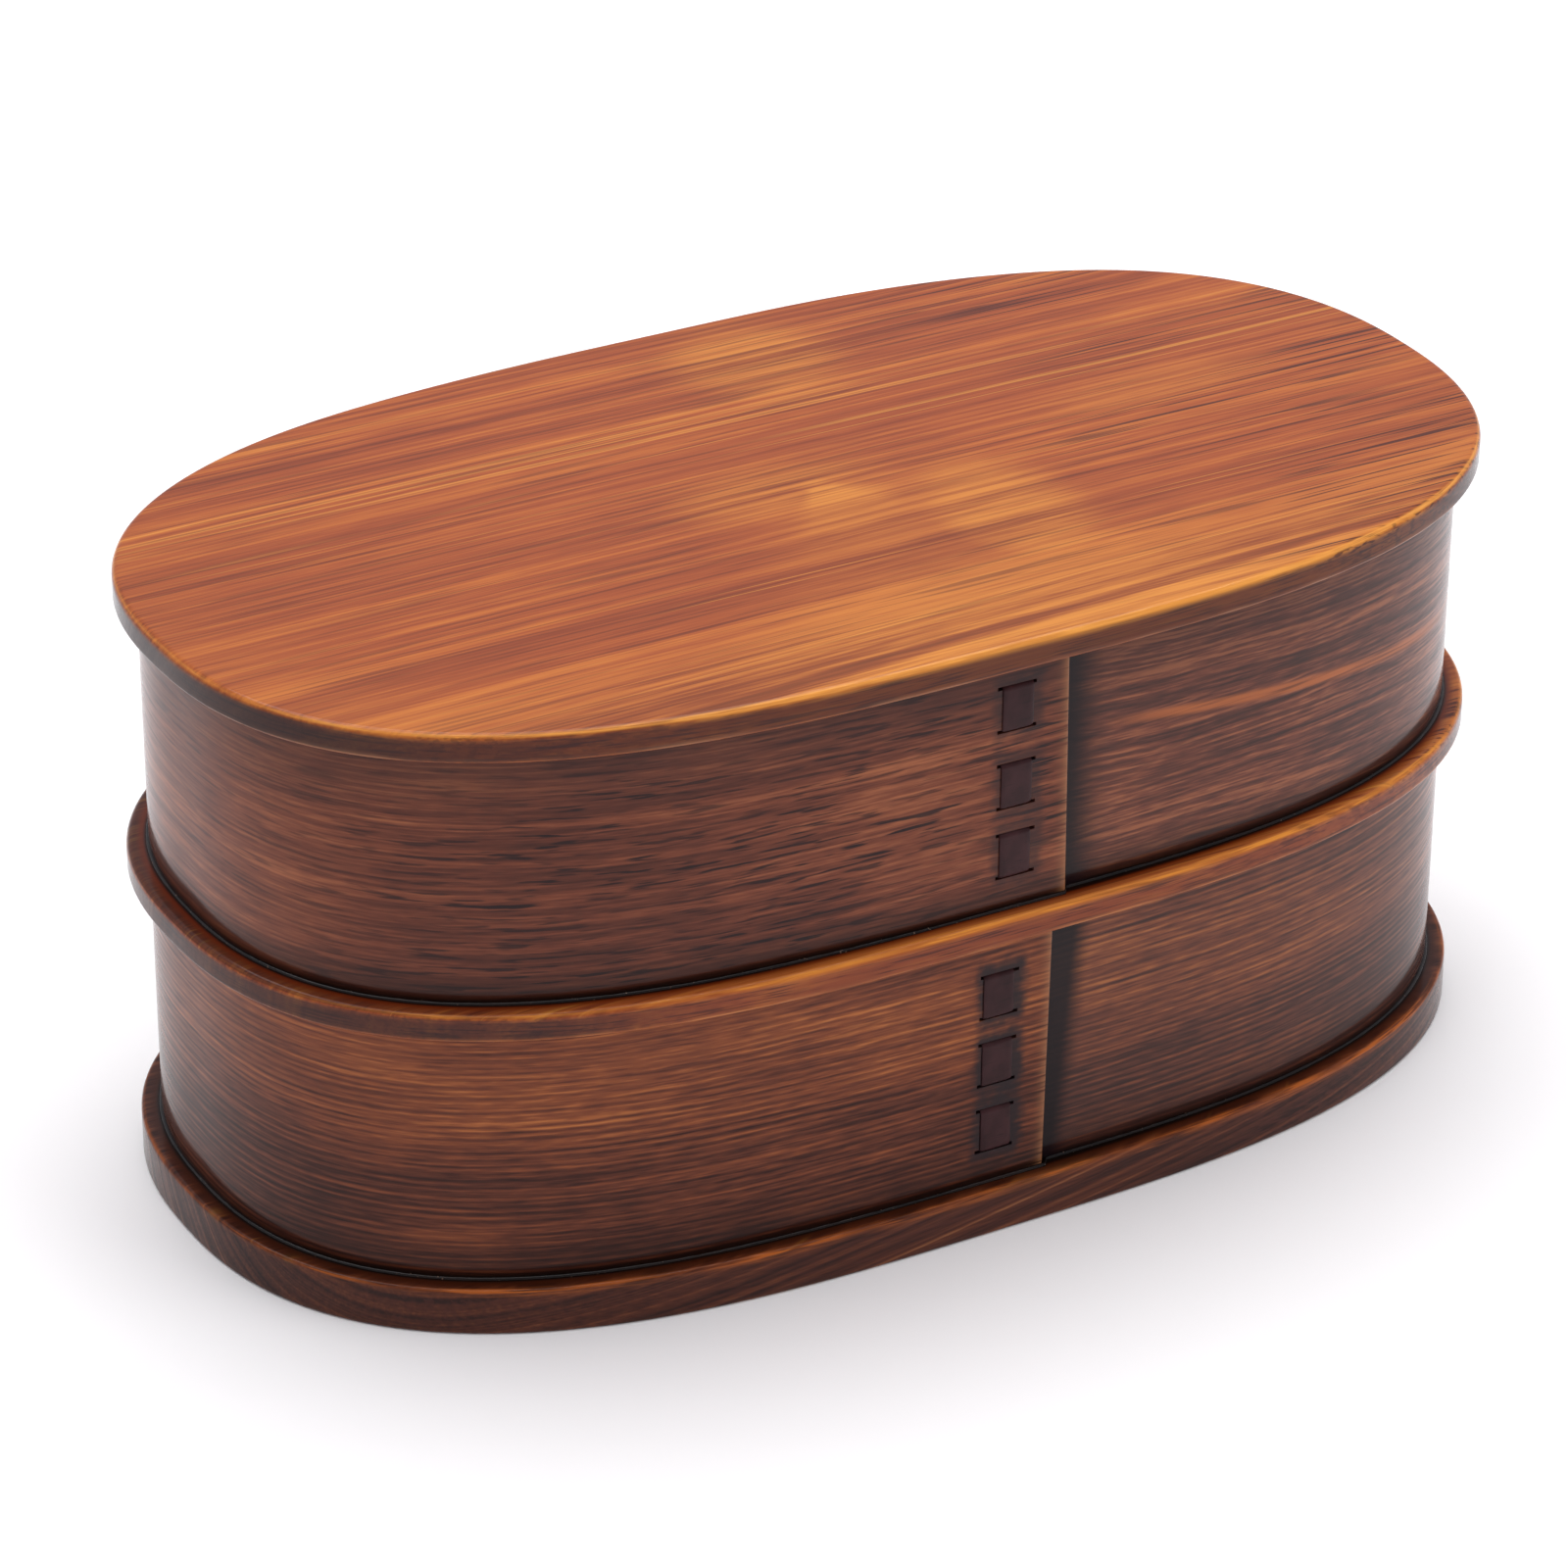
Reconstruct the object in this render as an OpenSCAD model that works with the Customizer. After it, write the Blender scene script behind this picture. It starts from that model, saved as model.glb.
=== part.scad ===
// Two-tier oval lunch box of bent wood: two laced hoops on glued boards, under a plate lid.
// Millimetres. X runs along the box, the lap joints face -Y, and Z = 0 is the underside.

/* [Outline] */
// Length of a hoop over its outer face
hoop_len = 193.6; // [150:0.2:260]
// Width of a hoop over its outer face
hoop_wid = 105.7; // [80:0.1:150]
// Power along the length: 2 is an ellipse, higher values flatten the long sides
side_power = 3.1; // [2.2:0.02:3.6]
// Power across the width: 2 is an ellipse, higher values flatten the ends
end_power = 2.42; // [2.2:0.02:3.6]

/* [Hoops] */
// Thickness of the bent strip
strip_t = 2.4; // [1.6:0.1:4]
// Height of the lower hoop above its board
lower_wall_h = 38.8; // [28:0.2:70]
// Height of the upper hoop above its board
upper_wall_h = 37.4; // [28:0.2:70]
// Depth of the groove that holds a hoop or a rim
seat_depth = 1; // [0.5:0.1:1.5]
// Glue gap on each side of a groove
glue_gap = 0.1; // [0.05:0.05:0.3]

/* [Lap joint] */
// Length over which the two ends of a strip overlap
lap_len = 40; // [24:1:60]
// Height of the outer end above the oval outline
lap_rise = 0.6; // [0.2:0.1:1.2]
// Depth of the strip below the oval outline, beside the outer end
lap_sink = 0.6; // [0.2:0.1:1.2]
// Thickness left at the feathered inner end
lap_feather = 0.3; // [0.1:0.1:0.6]
// Place of the upper outer end, to the right of the middle
upper_lap_x = 9; // [-10:0.1:30]
// Place of the lower outer end, to the right of the middle
lower_lap_x = 7.1; // [-10:0.1:30]

/* [Bark lacing] */
// Width of the bark strip
bark_w = 4.8; // [3:0.1:8]
// Thickness of the bark strip
bark_t = 0.4; // [0.2:0.1:0.8]
// Height of one stitch on the outside
stitch_h = 7.6; // [5:0.1:12]
// Gap between the stitches of the upper hoop
upper_stitch_gap = 3.4; // [2:0.1:6]
// Gap between the stitches of the lower hoop
lower_stitch_gap = 2.9; // [2:0.1:6]
// Distance from the outer end of the lap to the middle of the stitches
stitch_back = 8.2; // [5:0.1:14]
// Height of the lowest stitch above the board
stitch_low = 4.5; // [3:0.1:8]
// Least height of wall left above the top stitch
stitch_margin = 2.5; // [2:0.1:8]
// Gap between the bark and its slit, above and below
slit_gap = 0.25; // [0.1:0.05:0.5]
// Gap between the bark and the face that it lies on
bark_gap = 0.02; // [0.01:0.01:0.1]

/* [Boards] */
// Thickness of the lid board
lid_t = 4.2; // [3:0.1:8]
// Overhang of the lid board past the hoop
lid_overhang = 3.2; // [2:0.1:6]
// Thickness of the upper tier's board
upper_board_t = 4; // [3:0.1:8]
// Overhang of the upper tier's board past the hoop
upper_overhang = 3.1; // [2:0.1:6]
// Thickness of the lower tier's board
lower_board_t = 7; // [3:0.1:12]
// Overhang of the lower tier's board past the hoop
lower_overhang = 2.9; // [2:0.1:6]
// Radius along the top edge of the lid and the upper board
top_round = 1; // [0.4:0.1:1.2]
// Radius along the top edge of the lower board
base_round = 0.6; // [0.4:0.1:1.2]
// Radius along the lower edge of every board
under_round = 0.5; // [0.2:0.1:1.2]

/* [Locating rims] */
// Thickness of a rim
rim_t = 1.8; // [1.2:0.1:3]
// Depth that a rim reaches into the hoop below it
rim_h = 7; // [4:0.5:12]
// Gap between a rim and whatever stands out from the inner wall
rim_clear = 0.3; // [0.2:0.05:1]

/* [Seams] */
// Width of the putty bead on the board
bead_w = 0.8; // [0.4:0.1:1.2]
// Height of the putty bead on the hoop
bead_h = 0.9; // [0.4:0.1:1.2]

/* [Hidden] */

// Corners in each outline, and steps in the rounding of an edge
outline_n = 120;
round_n = 3;
// Overshoot of cuts past the faces that they go through
cut = 1;
// Bulge of the bead's face, as a share of its leg
bead_bulge = 0.65;

// Heights of the faces where the pieces meet
lower_floor_z = lower_board_t;
lower_rim_z = lower_floor_z + lower_wall_h;
upper_floor_z = lower_rim_z + upper_board_t;
upper_rim_z = upper_floor_z + upper_wall_h;
// Faces of the wall under the bark, measured out from the oval
bark_out = lap_rise * (1 - (stitch_back - bark_w / 2) / lap_len) + bark_gap;
bark_in = -strip_t - lap_feather * (stitch_back + bark_w / 2) / lap_len - bark_gap;
// A rim stands inside the wall, clear of the bark and of the feathered end
rim_out = min(bark_in - bark_t, -strip_t - lap_feather) - rim_clear;

// Point of the oval at angle t, moved out by d along its normal
half_len = hoop_len / 2;
half_wid = hoop_wid / 2;
function lame(c, half, power) = sign(c) * half * pow(abs(c), 2 / power);
function slope(v, half, power) = sign(v) * power * pow(abs(v) / half, power - 1) / half;
function oval_x(t) = lame(cos(t), half_len, side_power);
function oval_y(t) = lame(sin(t), half_wid, end_power);
function oval_normal(x, y) =
    let (v = [slope(x, half_len, side_power), slope(y, half_wid, end_power)]) v / norm(v);
function oval_point(t, d) = let (x = oval_x(t), y = oval_y(t)) [x, y] + d * oval_normal(x, y);
function oval(d) = [for (i = [0 : outline_n - 1]) oval_point(360 * i / outline_n, d)];
// Angle on the front of the oval, where the lap joints are, at a given x
function front_angle(x) = -acos(sign(x) * pow(abs(x) / half_len, side_power / 2));

// Outer face of a strip: it leaves the outer end sunken, goes round once and comes back raised
function lap_face(end_x, grow) = let (start = front_angle(end_x)) [for (i = [0 : outline_n]) let (
    t = start + 360 * i / outline_n,
    along = oval_x(t) - end_x,
    near = max(0, 1 - abs(along) / lap_len),
    first = i < outline_n / 4,
    last = i > outline_n * 3 / 4)
    oval_point(t, grow + (first ? -lap_sink * near : last ? lap_rise * near : 0))];
// Inner face of a strip: the inner end stands in by its feathered thickness and then runs flush
function feather_face(end_x, grow) = let (start = front_angle(end_x - lap_len - grow))
    [for (i = [0 : outline_n]) let (
    t = start + 360 * i / outline_n,
    left = end_x - oval_x(t),
    near = i < outline_n / 4 ? max(0, min(1, left / lap_len)) : 0)
    oval_point(t, -strip_t - grow - lap_feather * near)];

// Triangles that close a stack of rings of n points each, and wrap round if it is a loop
function skin(rings, n) = [for (j = [0 : rings - 1], i = [0 : n - 1]) let (
    a = j * n + i,
    b = j * n + (i + 1) % n,
    up = j + 1 < rings ? n : n - rings * n)
    each [[a, a + up, b], [b, a + up, b + up]]];

// Oval plate from z up by t, with rounded edges
module plate(z, t, overhang, r_top) {
    low = [for (k = [0 : round_n]) let (q = 90 * k / round_n)
        [overhang - under_round * (1 - sin(q)), z + under_round * (1 - cos(q))]];
    high = [for (k = [0 : round_n]) let (q = 90 * k / round_n)
        [overhang - r_top * (1 - cos(q)), z + t - r_top * (1 - sin(q))]];
    edge = concat(low, high);
    points = [for (e = edge) each [for (p = oval(e[0])) [p.x, p.y, e[1]]]];
    sides = skin(len(edge), outline_n);
    open = len(sides) - 2 * outline_n;
    top = (len(edge) - 1) * outline_n;
    polyhedron(points, concat([for (i = [0 : open - 1]) sides[i]],
        [[for (i = [0 : outline_n - 1]) i]], [[for (i = [outline_n - 1 : -1 : 0]) top + i]]));
}

// Upright bent strip with its lap joint, or with grow the groove that takes it
module strip(end_x, z, h, grow = 0) {
    translate([0, 0, z]) linear_extrude(h) difference() {
        polygon(lap_face(end_x + grow, grow));
        polygon(feather_face(end_x, grow));
    }
}

// Upright plain rim, or with grow the groove that takes it
module rim_ring(z, h, grow = 0) {
    translate([0, 0, z]) linear_extrude(h) difference() {
        polygon(oval(rim_out + grow));
        polygon(oval(rim_out - rim_t - grow));
    }
}

// Places its children on the wall at the stitches, with Y outwards and X along the strip
module at_stitches(end_x) {
    p = oval_point(front_angle(end_x - stitch_back), 0);
    n = oval_normal(p.x, p.y);
    translate(p) rotate(atan2(n.y, n.x) - 90) children();
}

// Heights of the foot of each stitch that the wall has room for
function stitch_feet(floor_z, wall_h, gap) = let (
    room = wall_h - stitch_low - stitch_margin + gap,
    count = max(1, floor(room / (stitch_h + gap))))
    [for (k = [0 : count - 1]) floor_z + stitch_low + k * (stitch_h + gap)];

// Slits through the lap, two for each stitch
module slits(end_x, feet) {
    wide = bark_w + 2 * slit_gap;
    high = bark_t + 2 * slit_gap;
    deep = bark_out - bark_in + 2 * cut;
    at_stitches(end_x) for (z = feet, end = [0, stitch_h - bark_t])
        translate([-wide / 2, bark_in - cut, z + end - slit_gap]) cube([wide, deep, high]);
}

// One strip of bark: over each stitch, in through its slits, and behind the wall to the next stitch
module lacing(end_x, feet, gap) {
    deep = bark_out + bark_t - bark_in;
    at_stitches(end_x) rotate([90, 0, 90]) linear_extrude(bark_w, center = true) union() {
        for (z = feet) {
            translate([bark_out, z]) square([bark_t, stitch_h]);
            for (end = [0, stitch_h - bark_t])
                translate([bark_in, z + end]) square([deep, bark_t]);
        }
        for (k = [1 : 1 : len(feet) - 1])
            translate([bark_in - bark_t, feet[k] - gap - bark_t]) square([bark_t, gap + 2 * bark_t]);
    }
}

// Bead of putty in the corner between a hoop and the board under it
module seam(end_x, z) {
    section = [[0, 0], [bead_w, 0], [bead_w * bead_bulge, bead_h * bead_bulge], [0, bead_h]];
    n = outline_n + 1;
    points = [for (s = section) each [for (p = lap_face(end_x + s[0], s[0])) [p.x, p.y, z + s[1]]]];
    polyhedron(points, skin(len(section), n));
}

upper_feet = stitch_feet(upper_floor_z, upper_wall_h, upper_stitch_gap);
lower_feet = stitch_feet(lower_floor_z, lower_wall_h, lower_stitch_gap);

module lid_board() {
    color("#a8612f") difference() {
        plate(upper_rim_z, lid_t, lid_overhang, top_round);
        rim_ring(upper_rim_z - cut, seat_depth + cut, glue_gap);
    }
}

module lid_rim() {
    color("#8a5434") rim_ring(upper_rim_z - rim_h, rim_h + seat_depth);
}

module upper_hoop() {
    color("#5a382b") difference() {
        strip(upper_lap_x, upper_floor_z - seat_depth, upper_wall_h + seat_depth);
        slits(upper_lap_x, upper_feet);
    }
}

module upper_lacing() {
    color("#3a2a2e") lacing(upper_lap_x, upper_feet, upper_stitch_gap);
}

module upper_seam() {
    color("#17100e") seam(upper_lap_x, upper_floor_z);
}

module upper_board() {
    color("#93562f") difference() {
        plate(lower_rim_z, upper_board_t, upper_overhang, top_round);
        strip(upper_lap_x, upper_floor_z - seat_depth, seat_depth + cut, glue_gap);
        rim_ring(lower_rim_z - cut, seat_depth + cut, glue_gap);
    }
}

module upper_rim() {
    color("#8a5434") rim_ring(lower_rim_z - rim_h, rim_h + seat_depth);
}

module lower_hoop() {
    color("#6b4330") difference() {
        strip(lower_lap_x, lower_floor_z - seat_depth, lower_wall_h + seat_depth);
        slits(lower_lap_x, lower_feet);
    }
}

module lower_lacing() {
    color("#3a2a2e") lacing(lower_lap_x, lower_feet, lower_stitch_gap);
}

module lower_seam() {
    color("#17100e") seam(lower_lap_x, lower_floor_z);
}

module lower_board() {
    color("#7a4a31") difference() {
        plate(0, lower_board_t, lower_overhang, base_round);
        strip(lower_lap_x, lower_floor_z - seat_depth, seat_depth + cut, glue_gap);
    }
}

lid_board();
lid_rim();
upper_hoop();
upper_lacing();
upper_seam();
upper_board();
upper_rim();
lower_hoop();
lower_lacing();
lower_seam();
lower_board();
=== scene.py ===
import math

import bmesh
import bpy
import numpy as np
from mathutils import Matrix, Vector


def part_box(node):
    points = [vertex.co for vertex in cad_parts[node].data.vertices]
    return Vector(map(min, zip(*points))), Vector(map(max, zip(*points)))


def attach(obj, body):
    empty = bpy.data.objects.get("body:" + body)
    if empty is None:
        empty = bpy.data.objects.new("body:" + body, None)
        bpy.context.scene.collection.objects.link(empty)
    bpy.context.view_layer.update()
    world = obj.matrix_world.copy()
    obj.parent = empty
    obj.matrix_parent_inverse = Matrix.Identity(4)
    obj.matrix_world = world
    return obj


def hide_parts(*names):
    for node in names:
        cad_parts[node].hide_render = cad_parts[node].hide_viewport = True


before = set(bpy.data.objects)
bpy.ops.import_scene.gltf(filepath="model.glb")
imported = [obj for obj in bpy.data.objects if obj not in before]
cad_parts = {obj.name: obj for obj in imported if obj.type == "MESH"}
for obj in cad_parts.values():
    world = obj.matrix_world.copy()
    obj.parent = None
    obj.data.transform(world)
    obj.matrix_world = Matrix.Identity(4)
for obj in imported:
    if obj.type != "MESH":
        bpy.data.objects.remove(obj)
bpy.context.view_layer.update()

mm = 0.001

# The oval that every hoop, rim and board follows
oval = {
    "halfLength": 96.8 * mm,
    "halfWidth": 52.85 * mm,
    "sidePower": 3.1,  # over 2, flattens the long sides
    "endPower": 2.42,  # over 2, flattens the ends
    "tableSize": 400000,
}


def ovalAtAngle(angle):
    # |x / halfLength| ^ sidePower + |y / halfWidth| ^ endPower = 1, as powers of an angle's cosine
    # and sine
    c = np.cos(angle)
    s = np.sin(angle)
    x = oval["halfLength"] * np.sign(c) * np.abs(c) ** (2 / oval["sidePower"])
    y = oval["halfWidth"] * np.sign(s) * np.abs(s) ** (2 / oval["endPower"])
    return x, y


# Length along the oval against its angle, anticlockwise from the middle of the front
angleTable = np.linspace(-0.5 * math.pi, 1.5 * math.pi, oval["tableSize"] + 1)
tableX, tableY = ovalAtAngle(angleTable)
lengthTable = np.concatenate(([0], np.cumsum(np.hypot(np.diff(tableX), np.diff(tableY)))))
girth = lengthTable[-1]


def onOval(along, out):
    # the point at a length along the oval, moved out along its normal, which is the gradient of the
    # oval's equation
    x, y = ovalAtAngle(np.interp(along % girth, lengthTable, angleTable))
    steep = []
    for value, half, power in ((x, "halfLength", "sidePower"), (y, "halfWidth", "endPower")):
        share = np.abs(value) / oval[half]
        steep.append(np.sign(value) * oval[power] * share ** (oval[power] - 1) / oval[half])
    slope = np.hypot(*steep)
    return x + out * steep[0] / slope, y + out * steep[1] / slope


waveGain = 1.5  # waves out of step partly cancel


def unevenness(along, counts, seed):
    # mean of sine waves that close on themselves round the oval, times a gain that brings it to about
    # -1 to 1: what a hand leaves
    phase = np.random.default_rng(seed).uniform(0, 2 * math.pi, len(counts))
    turns = 2 * math.pi * np.multiply.outer(along / girth, np.array(counts))
    return waveGain * np.sin(turns + phase).mean(-1)


sharpAngle = math.radians(40)  # edges past this stay crisp


def makePiece(name, points, closed, body, node, material, uv=None, marks=None):
    # points is a grid: rows follow the piece, and each row goes once round its section
    # open ends get a face each
    rows, columns = points.shape[:2]
    index = np.arange(rows * columns).reshape(rows, columns)
    ends = [] if closed else [index[0, ::-1].tolist(), index[-1].tolist()]
    if closed:
        index = np.vstack((index, index[:1]))
    index = np.hstack((index, index[:, :1]))
    quads = np.stack((index[:-1, :-1], index[:-1, 1:], index[1:, 1:], index[1:, :-1]), -1)
    mesh = bpy.data.meshes.new(name)
    mesh.from_pydata(points.reshape(-1, 3), [], quads.reshape(-1, 4).tolist() + ends)
    shell = bmesh.new()
    shell.from_mesh(mesh)
    if shell.calc_volume(signed=True) < 0:  # faces point outwards
        bmesh.ops.reverse_faces(shell, faces=shell.faces[:])
    shell.to_mesh(mesh)
    shell.free()
    mesh.shade_smooth()
    mesh.set_sharp_from_angle(angle=sharpAngle)
    if uv is not None:
        corner = np.empty(len(mesh.loops), np.int32)
        mesh.loops.foreach_get("vertex_index", corner)
        layer = mesh.uv_layers.new(name="grain")
        layer.data.foreach_set("uv", uv.reshape(-1, 2)[corner].astype(np.float32).ravel())
    for label, values in (marks or {}).items():
        layer = mesh.attributes.new(label, "FLOAT", "POINT")
        spread = np.broadcast_to(values, (rows, columns))
        layer.data.foreach_set("value", spread.astype(np.float32).ravel())
    mesh.materials.append(material)
    piece = bpy.data.objects.new(name, mesh)
    bpy.context.scene.collection.objects.link(piece)
    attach(piece, body)
    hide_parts(node)
    print(name, len(mesh.polygons), "faces")


# Materials

def linear(hexColour):
    # undoes the sRGB curve, a straight foot and then a power
    srgb = np.array([int(hexColour[i:i + 2], 16) for i in (1, 3, 5)]) / 255
    return (*np.where(srgb <= 0.04045, srgb / 12.92, ((srgb + 0.055) / 1.055) ** 2.4), 1.0)


def addNode(tree, kind, inputs, output=0, **settings):
    # one node with its settings; an input is a value or the socket that feeds it; gives back one output
    node = tree.nodes.new("ShaderNode" + kind)
    for name, value in settings.items():
        if name == "stops":
            ramp = node.color_ramp.elements
            while len(ramp) < len(value):
                ramp.new(1.0)
            for stop, (place, colour) in zip(ramp, value):
                stop.position = place
                stop.color = linear(colour)
        else:
            setattr(node, name, value)
    for key, value in inputs.items() if isinstance(inputs, dict) else enumerate(inputs):
        if isinstance(value, bpy.types.NodeSocket):
            tree.links.new(value, node.inputs[key])
        else:
            node.inputs[key].default_value = value
    return node.outputs[output]


def startMaterial(name):
    material = bpy.data.materials.new(name)
    material.use_nodes = True
    return material, material.node_tree, material.node_tree.nodes["Principled BSDF"]


figureStep = np.array((3.7, 1.9, 5.3))  # takes each seed to noise of its own
noiseMiddle = 0.5


def figure(tree, coords, size, seed):
    # noise drawn out to a size in mm along each axis
    place = tuple(seed * figureStep)
    scale = [1 / (s * mm) for s in size]
    drawn = addNode(tree, "Mapping", {"Vector": coords, "Location": place, "Scale": scale})
    return addNode(tree, "TexNoise", {"Vector": drawn, "Scale": 1.0})


def blendTones(tree, start, noises):
    # one number about start: each noise adds its swing about its middle, times its weight
    tone = start
    for noise, weight in noises:
        lowered = addNode(tree, "Math", (noise, noiseMiddle), operation="SUBTRACT")
        tone = addNode(tree, "Math", (lowered, weight, tone), operation="MULTIPLY_ADD")
    return tone


def shareOf(tree, limits):
    # product of masks, each eased from one strength to another between two values of its guide
    share = 1.0
    for limit in limits:  # guide, its two values, strength before and after
        mask = addNode(tree, "MapRange", limit, interpolation_type="SMOOTHSTEP")
        share = addNode(tree, "Math", (mask, share), operation="MULTIPLY")
    return share


def paint(tree, colour, layers):
    # colours laid over each other, each as far as its share says; a Mix node takes colours at its
    # inputs 6 and 7, and gives one at its output 2
    for hexColour, limits in layers:
        share = shareOf(tree, limits)
        colour = addNode(tree, "Mix", {0: share, 6: colour, 7: linear(hexColour)}, 2, data_type="RGBA")
    return colour


lacquer = {
    "ior": 1.12, "coat": 0.7, "coatRough": 0.12, "coatIor": 1.3,  # wood under it, then the clear film
    "rough": 0.36, "roughSpread": 0.14, "toneEase": (0.25, 0.75),
    "grainDepth": 0.05 * mm, "grainStrength": 0.5,
}


def finishWood(tree, shader, colour, tone):
    # satin lacquer that sinks into the dark grain, which lies lower and duller than the light grain
    tree.links.new(colour, shader.inputs["Base Color"])
    dull = lacquer["rough"] + lacquer["roughSpread"]
    rough = shareOf(tree, [(tone, *lacquer["toneEase"], dull, lacquer["rough"])])
    tree.links.new(rough, shader.inputs["Roughness"])
    bump = addNode(tree, "Bump", {
        "Strength": lacquer["grainStrength"], "Distance": lacquer["grainDepth"], "Height": tone})
    tree.links.new(bump, shader.inputs["Normal"])
    shader.inputs["IOR"].default_value = lacquer["ior"]
    shader.inputs["Coat Weight"].default_value = lacquer["coat"]
    shader.inputs["Coat Roughness"].default_value = lacquer["coatRough"]
    shader.inputs["Coat IOR"].default_value = lacquer["coatIor"]


def finishPlain(tree, shader, colour, height, look):
    # one gloss all over, on a surface roughened by its figure
    tree.links.new(colour, shader.inputs["Base Color"])
    bump = addNode(tree, "Bump", {
        "Strength": look["bumpStrength"], "Distance": look["bumpDepth"], "Height": height})
    tree.links.new(bump, shader.inputs["Normal"])
    shader.inputs["Roughness"].default_value = look["rough"]
    shader.inputs["IOR"].default_value = look["ior"]


def boardWood(look):
    # Cedar board, sawn, sanded round its edges, stained and rubbed with satin lacquer: rings round
    # a pith below it show as straight lines on top and as slanted lines on its sides, and rubbed
    # places go golden. The golden edge is partly rubbing and partly a painted highlight along the
    # front, the golden glow is partly rubbing and partly painted sheen, and the corner at a hoop's
    # foot holds pooled stain and painted shade
    material, tree, shader = startMaterial(look["name"])
    seed = look["seed"]
    coords = addNode(tree, "TexCoord", (), "Object")
    labels = ("glow", "side", "endGrain", "arris", "lowArris", "fromHoop", "edgeX", "edgeY", "edgeOver")
    glow, side, endGrain, arris, lowArris, fromHoop, edgeX, edgeY, edgeOver = (
        addNode(tree, "Attribute", (), "Fac", attribute_name=label) for label in labels)
    turned = addNode(tree, "Mapping", {
        "Vector": coords, "Location": (0, look["pithY"] * mm, look["pithZ"] * mm),
        "Rotation": (0, math.radians(look["tilt"]), math.radians(look["skew"]))})
    across = addNode(tree, "VectorMath", (turned, (0, 1, 1)), operation="MULTIPLY")
    radius = addNode(tree, "VectorMath", (across,), "Value", operation="LENGTH")
    bow = figure(tree, coords, look["bowSize"], seed)
    ring = addNode(tree, "Math", (bow, look["bow"] * mm, radius), operation="MULTIPLY_ADD")
    rings = []
    for place, spacing in enumerate((look["band"], look["line"], look["vein"])):
        start = seed + look["ringsApart"] * place
        count = addNode(tree, "Math", (ring, 1 / (spacing * mm), start), operation="MULTIPLY_ADD")
        rings.append(addNode(tree, "TexNoise", {"W": count, "Scale": 1.0}, noise_dimensions="1D"))
    streak = figure(tree, coords, look["streak"], seed + 1)
    fibre = figure(tree, coords, look["fibre"], seed + 2)
    cloud = figure(tree, coords, look["cloud"], seed + 3)
    edge = addNode(tree, "CombineXYZ", (edgeX, edgeY, edgeOver))
    chip = figure(tree, edge, look["chip"], seed + 7)
    rub = figure(tree, edge, look["rub"], seed + 8)
    tone = blendTones(tree, look["tone"], (
        (rings[0], look["bandShare"]), (rings[1], look["lineShare"]), (streak, look["streakShare"]),
        (fibre, look["fibreShare"]), (cloud, look["cloudShare"])))
    colour = addNode(tree, "ValToRGB", (tone,), stops=look["ramp"])
    # a vein is a thin line where the widest ring noise passes its middle
    offVein = addNode(tree, "Math", (rings[2], noiseMiddle), operation="SUBTRACT")
    offVein = addNode(tree, "Math", (offVein,), operation="ABSOLUTE")
    goldPlace = figure(tree, coords, look["goldPlace"], seed + 4)
    lengthwise = addNode(tree, "SeparateXYZ", (coords,), "X")
    soot = figure(tree, coords, look["soot"], seed + 5)
    sootPlace = figure(tree, coords, look["sootPlace"], seed + 6)
    colour = paint(tree, colour, (
        (look["goldColour"], [
            (offVein, 0, look["veinWidth"], look["goldShare"], 0), (goldPlace, *look["goldEase"], 0, 1),
            (side, 0, 1, 1, 0)]),
        # golden glow: rubbing near the front edge, and painted sheen in the patches
        (look["rubGlowAndSheenColour"], [(glow, 0, 1, 0, 1), (tone, *look["glowEase"], look["glowLeast"], 1)]),
        (look["sootColour"], [
            (soot, *look["sootEase"], 0, look["sootShare"]), (sootPlace, *look["sootPlaceEase"], 0, 1),
            (lengthwise, look["sootFrom"] * mm, look["sootTo"] * mm, look["sootLeast"], 1)]),
        (look["sideColour"], [(side, 0, 1, 0, look["sideShare"])]),
        (look["sideLineColour"], [
            (side, 0, 1, 0, look["sideLineShare"]), (rub, *look["sideLineEase"], 0, 1)]),
        (look["endColour"], [(endGrain, 0, 1, 0, look["endShare"])]),
        # rubbed edge, partly a painted highlight
        (look["wornAndHighlightColour"], [
            (arris, *look["arrisEase"], 0, look["wearAndHighlight"]), (chip, *look["chipEase"], look["wearLeast"], 1),
            (rub, *look["rubEase"], look["wearLeast"], 1)]),
        (look["lowColour"], [
            (lowArris, 0, 1, 0, look["lowWear"]), (chip, *look["lowChipEase"], 1, look["lowLeast"])]),
        # pooled stain and painted shade in the corner at a hoop's foot, then painted shade in the crack
        (look["cornerStainAndShadeColour"], [
            (fromHoop, look["cornerFrom"] * mm, look["cornerTo"] * mm, look["cornerShare"], 0)]),
        (look["crackShadeColour"], [
            (fromHoop, look["crackFrom"] * mm, look["crackTo"] * mm, look["cornerShare"], 0)])))
    finishWood(tree, shader, colour, tone)
    return material


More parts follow.
